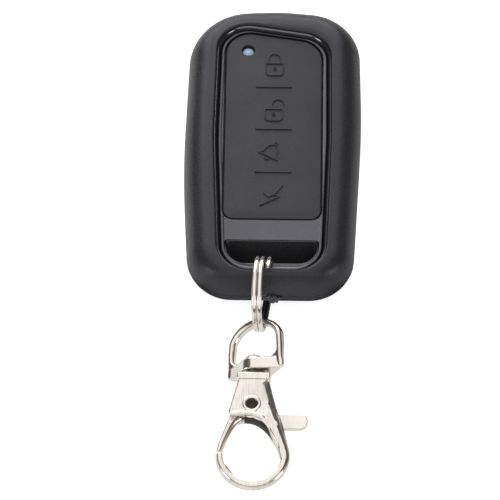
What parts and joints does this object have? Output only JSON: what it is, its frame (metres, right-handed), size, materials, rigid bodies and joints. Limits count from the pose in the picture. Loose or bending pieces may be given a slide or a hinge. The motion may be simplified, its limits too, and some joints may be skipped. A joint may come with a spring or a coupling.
{
  "type": "wireless remote control",
  "caption": "Key-fob wireless remote control with press keys, a status light and a split ring carrying a swivel lobster clasp.",
  "frame": {"origin": "centre of the case's flat rear face, which lies on the table", "axes": "+X to the right and +Y towards the end away from the ring, seen from the keys; +Z out of the keys"},
  "size_m": [0.0364, 0.1122, 0.0155],
  "materials": {
    "case_black": "moulded ABS, satin gloss",
    "bezel_black": "fine texture deck with a polished rim",
    "key_rubber": "matte silicone",
    "lens": "clear pale blue light pipe",
    "board_green": "solder mask over glass laminate",
    "chip_black": "moulded epoxy",
    "can_metal": "plain",
    "nickel": "bright nickel plate over cast zinc",
    "spring_steel": "nickel plated",
    "cell_steel": "satin"
  },
  "bodies": {
    "case": {"front_shell": "case_black", "rear_shell": "case_black", "center_bezel": "bezel_black", "keypad_web": "key_rubber", "led_lens": "lens", "circuit_board": "board_green", "status_led": "lens", "encoder_chip": "chip_black", "saw_resonator": "can_metal", "crystal": "can_metal", "loop_antenna": "spring_steel", "chip_components": "chip_black", "coin_cell": "cell_steel", "cell_clip": "spring_steel", "cell_contact": "spring_steel", "case_screws": "spring_steel", "switch_body_1": "chip_black", "switch_body_2": "chip_black", "switch_body_3": "chip_black", "switch_body_4": "chip_black"},
    "ring": {"split_ring": "nickel"},
    "eye": {"swivel_eye": "nickel"},
    "clasp": {"clasp_hook": "nickel", "swivel_post": "nickel", "gate_rivet": "nickel", "gate_spring": "spring_steel"},
    "gate": {"gate_lever": "nickel"},
    "key_lock": {"key_lock": "key_rubber"},
    "plunger_1": {"switch_plunger_1": "chip_black"},
    "key_unlock": {"key_unlock": "key_rubber"},
    "plunger_2": {"switch_plunger_2": "chip_black"},
    "key_bell": {"key_bell": "key_rubber"},
    "plunger_3": {"switch_plunger_3": "chip_black"},
    "key_flash": {"key_flash": "key_rubber"},
    "plunger_4": {"switch_plunger_4": "chip_black"}
  },
  "joints": [
    {"name": "ring_swing", "type": "hinge", "parent": "case", "child": "ring", "pos_m": [-0.0021, -0.0358, 0.00779], "axis": [-0.9954, 0.0591, -0.075], "range_deg": [-40, 110]},
    {"name": "eye_pitch", "type": "hinge", "parent": "ring", "child": "eye", "pos_m": [-0.0032, -0.04068, 0.00475], "axis": [0.866, -0.0436, 0.4981], "range_deg": [-35, 60]},
    {"name": "clasp_swivel", "type": "hinge", "parent": "eye", "child": "clasp", "pos_m": [-0.0032, -0.04068, 0.00475], "axis": [0, 0.9962, 0.0872], "continuous": true},
    {"name": "gate_open", "type": "hinge", "parent": "clasp", "child": "gate", "pos_m": [-0.00345, -0.05954, 0.0031], "axis": [0, -0.0872, 0.9962], "range_deg": [0, 25], "stiffness_Nm_per_rad": 0.004, "springref_deg": -28.65, "deforming": ["gate_spring"]},
    {"name": "key_lock_press", "type": "slide", "parent": "case", "child": "key_lock", "axis": [0, 0, -1], "range_m": [0, 0.00025], "stiffness_N_per_m": 1000, "springref_m": -0.0006},
    {"name": "plunger_1_press", "type": "slide", "parent": "case", "child": "plunger_1", "axis": [0, 0, -1], "range_m": [0, 0.00025]},
    {"name": "key_unlock_press", "type": "slide", "parent": "case", "child": "key_unlock", "axis": [0, 0, -1], "range_m": [0, 0.00025], "stiffness_N_per_m": 1000, "springref_m": -0.0006},
    {"name": "plunger_2_press", "type": "slide", "parent": "case", "child": "plunger_2", "axis": [0, 0, -1], "range_m": [0, 0.00025]},
    {"name": "key_bell_press", "type": "slide", "parent": "case", "child": "key_bell", "axis": [0, 0, -1], "range_m": [0, 0.00025], "stiffness_N_per_m": 1000, "springref_m": -0.0006},
    {"name": "plunger_3_press", "type": "slide", "parent": "case", "child": "plunger_3", "axis": [0, 0, -1], "range_m": [0, 0.00025]},
    {"name": "key_flash_press", "type": "slide", "parent": "case", "child": "key_flash", "axis": [0, 0, -1], "range_m": [0, 0.00025], "stiffness_N_per_m": 1000, "springref_m": -0.0006},
    {"name": "plunger_4_press", "type": "slide", "parent": "case", "child": "plunger_4", "axis": [0, 0, -1], "range_m": [0, 0.00025]}
  ],
  "couplings": [
    {"joint": "plunger_1_press", "follows": "key_lock_press", "ratio": 1},
    {"joint": "plunger_2_press", "follows": "key_unlock_press", "ratio": 1},
    {"joint": "plunger_3_press", "follows": "key_bell_press", "ratio": 1},
    {"joint": "plunger_4_press", "follows": "key_flash_press", "ratio": 1}
  ]
}
